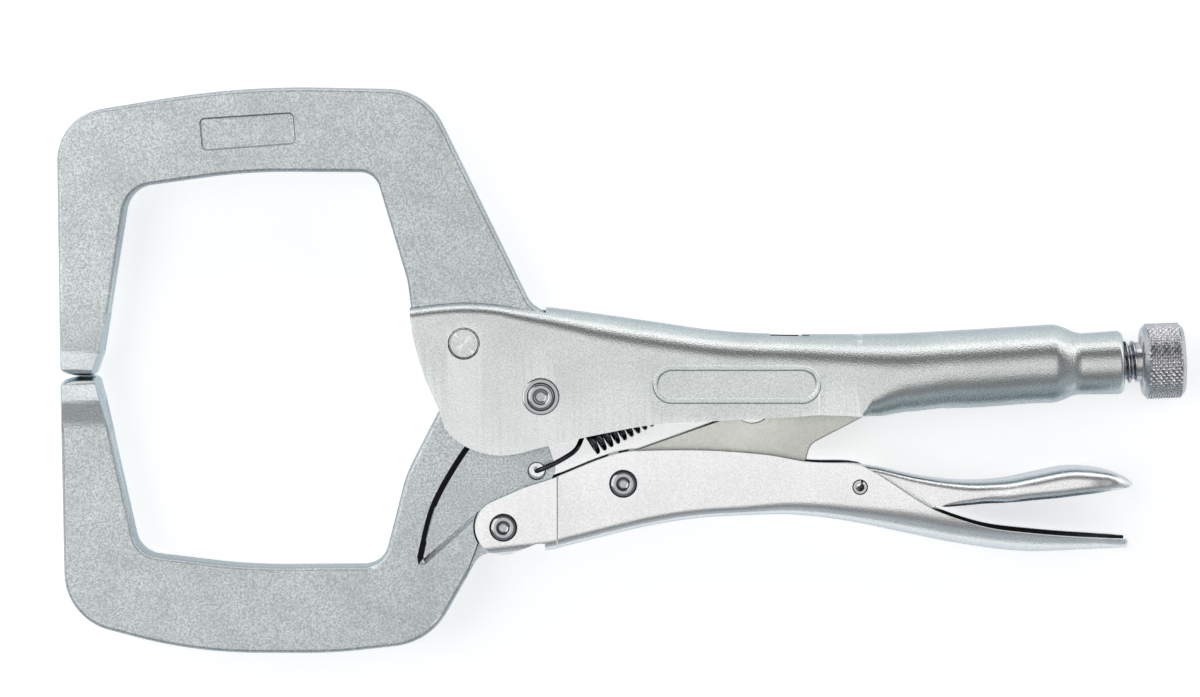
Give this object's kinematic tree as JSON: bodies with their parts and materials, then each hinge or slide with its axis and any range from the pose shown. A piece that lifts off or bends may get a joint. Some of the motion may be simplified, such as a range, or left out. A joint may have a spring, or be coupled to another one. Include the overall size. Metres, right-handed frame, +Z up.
{
  "type": "locking c clamp",
  "caption": "Locking C clamp, 280 mm, with forged jaws, a toggle-locking lower handle, release lever, return spring and adjusting screw.",
  "frame": {"origin": "centre of the clamp's box, on the surface it lies on", "axes": "+X from the jaw tips to the adjusting knob, +Y from the moving jaw to the fixed jaw, +Z up, along every pivot"},
  "size_m": [0.281, 0.1414, 0.0197],
  "materials": {
    "forged_steel": "nickel-plated forging, satin, fine grained",
    "pressed_steel": "nickel-plated pressed sheet, satin with bright rolled edges",
    "link_steel": "nickel-plated stamped plate",
    "bright_rivet": "bright plated, domed and dimpled heads",
    "pin_steel": "dull rolled spring pin",
    "screw_steel": "bright plated thread and knurl",
    "spring_steel": "dark glossy spring wire"
  },
  "bodies": {
    "frame": {"upper_handle": "pressed_steel", "fixed_jaw": "forged_steel", "fixed_jaw_rivet": "forged_steel", "main_pivot_rivet": "bright_rivet"},
    "moving_jaw": {"moving_jaw": "forged_steel"},
    "lower_handle": {"lower_handle": "pressed_steel", "front_rivet": "bright_rivet", "link_rivet": "bright_rivet", "release_pin": "pin_steel"},
    "toggle_link": {"toggle_link": "link_steel"},
    "release_lever": {"release_lever": "pressed_steel"},
    "screw": {"adjusting_screw": "screw_steel"},
    "knob": {"screw_knob": "screw_steel"},
    "spring": {"jaw_spring": "spring_steel"}
  },
  "joints": [
    {"name": "jaw_pivot", "type": "hinge", "parent": "frame", "child": "moving_jaw", "pos_m": [-0.02022, -0.00601, 0.00985], "axis": [0, 0, 1], "range_deg": [0, 40]},
    {"name": "handle_pivot", "type": "hinge", "parent": "moving_jaw", "child": "lower_handle", "pos_m": [-0.02962, -0.03886, 0.00985], "axis": [0, 0, 1], "range_deg": [-96, 0]},
    {"name": "link_pivot", "type": "hinge", "parent": "lower_handle", "child": "toggle_link", "pos_m": [0.00028, -0.02796, 0.00985], "axis": [0, 0, 1], "range_deg": [0, 85]},
    {"name": "release_pivot", "type": "hinge", "parent": "lower_handle", "child": "release_lever", "pos_m": [0.05928, -0.02871, 0.00985], "axis": [0, 0, 1], "range_deg": [-9, 0]},
    {"name": "screw_travel", "type": "slide", "parent": "frame", "child": "screw", "axis": [0.9993, 0.0384, 0], "range_m": [0, 0.025]},
    {"name": "knob_turn", "type": "hinge", "parent": "screw", "child": "knob", "pos_m": [0.11968, 0.00184, 0.00985], "axis": [0.9993, 0.0384, 0], "range_deg": [0, 4970]},
    {"name": "spring_swing", "type": "hinge", "parent": "frame", "child": "spring", "pos_m": [0.03818, 0.00509, 0.00985], "axis": [0, 0, 1], "range_deg": [0, 2.5], "deforming": ["jaw_spring"]}
  ],
  "couplings": [
    {"joint": "handle_pivot", "follows": "jaw_pivot", "ratio": -2.3777},
    {"joint": "link_pivot", "follows": "jaw_pivot", "ratio": 2.1158},
    {"joint": "spring_swing", "follows": "jaw_pivot", "ratio": 0.0602},
    {"joint": "knob_turn", "follows": "screw_travel", "rad_per_m": 3463.7}
  ]
}
